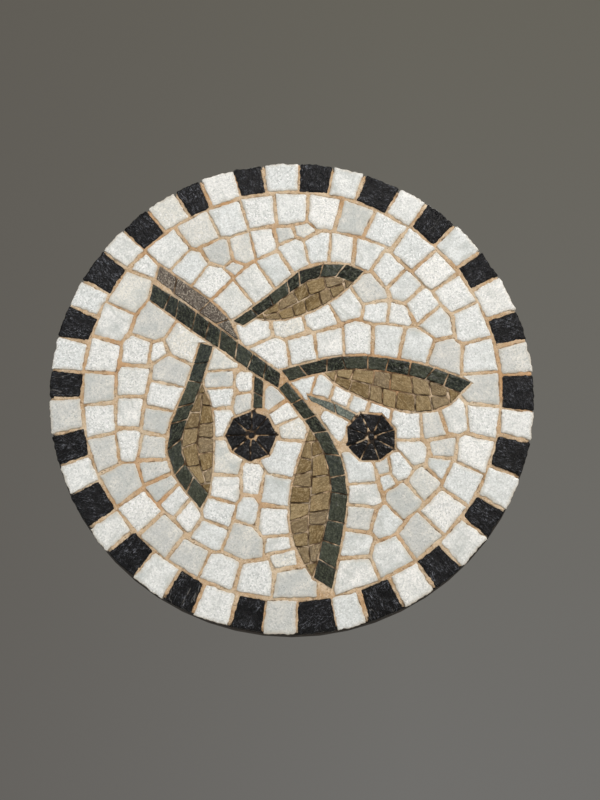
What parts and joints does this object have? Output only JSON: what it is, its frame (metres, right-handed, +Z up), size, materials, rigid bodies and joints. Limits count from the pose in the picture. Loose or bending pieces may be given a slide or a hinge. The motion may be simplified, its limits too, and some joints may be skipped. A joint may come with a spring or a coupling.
{
  "type": "round marble mosaic wall panel",
  "caption": "Round wall panel of hand-cut marble mosaic: a chequered border and a white field around an olive branch, on a board with a keyhole slot.",
  "frame": {"origin": "centre of the board's back face, which lies against the wall", "axes": "+Z up the wall, +Y into the wall, the mosaic faces -Y"},
  "size_m": [0.302, 0.0168, 0.302],
  "materials": {
    "white_marble": "sawn and rubbed",
    "black_marble": "honed",
    "green_stone": "honed",
    "olive_stone": "honed",
    "brown_stone": "honed",
    "mortar": "sandy, trowelled",
    "board": "painted, matt"
  },
  "bodies": {
    "root": {"backing_board": "board", "mortar_and_white_field": "mortar", "branch_bare_stem": "brown_stone", "branch_green_stem": "green_stone", "upper_leaf_rim": "green_stone", "upper_leaf_blade": "olive_stone", "right_leaf_rim": "green_stone", "right_leaf_blade": "olive_stone", "left_leaf_rim": "green_stone", "left_leaf_blade": "olive_stone", "lower_leaf_rim": "green_stone", "lower_leaf_blade": "olive_stone", "left_olive": "green_stone", "left_olive_stalk": "green_stone", "right_olive": "green_stone", "right_olive_stalk": "green_stone", "border_black_01": "black_marble", "border_white_01": "white_marble", "border_black_02": "black_marble", "border_white_02": "white_marble", "border_black_03": "black_marble", "border_white_03": "white_marble", "border_black_04": "black_marble", "border_white_04": "white_marble", "border_black_05": "black_marble", "border_white_05": "white_marble", "border_black_06": "black_marble", "border_white_06": "white_marble", "border_black_07": "black_marble", "border_white_07": "white_marble", "border_black_08": "black_marble", "border_white_08": "white_marble", "border_black_09": "black_marble", "border_white_09": "white_marble", "border_black_10": "black_marble", "border_white_10": "white_marble", "border_black_11": "black_marble", "border_white_11": "white_marble", "border_black_12": "black_marble", "border_white_12": "white_marble", "border_black_13": "black_marble", "border_white_13": "white_marble", "border_black_14": "black_marble", "border_white_14": "white_marble", "border_black_15": "black_marble", "border_white_15": "white_marble", "border_black_16": "black_marble", "border_white_16": "white_marble", "border_black_17": "black_marble", "border_white_17": "white_marble", "border_black_18": "black_marble", "border_white_18": "white_marble", "border_black_19": "black_marble", "border_white_19": "white_marble", "border_black_20": "black_marble", "border_white_20": "white_marble", "border_black_21": "black_marble", "border_white_21": "white_marble", "border_black_22": "black_marble", "border_white_22": "white_marble"}
  },
  "joints": []
}
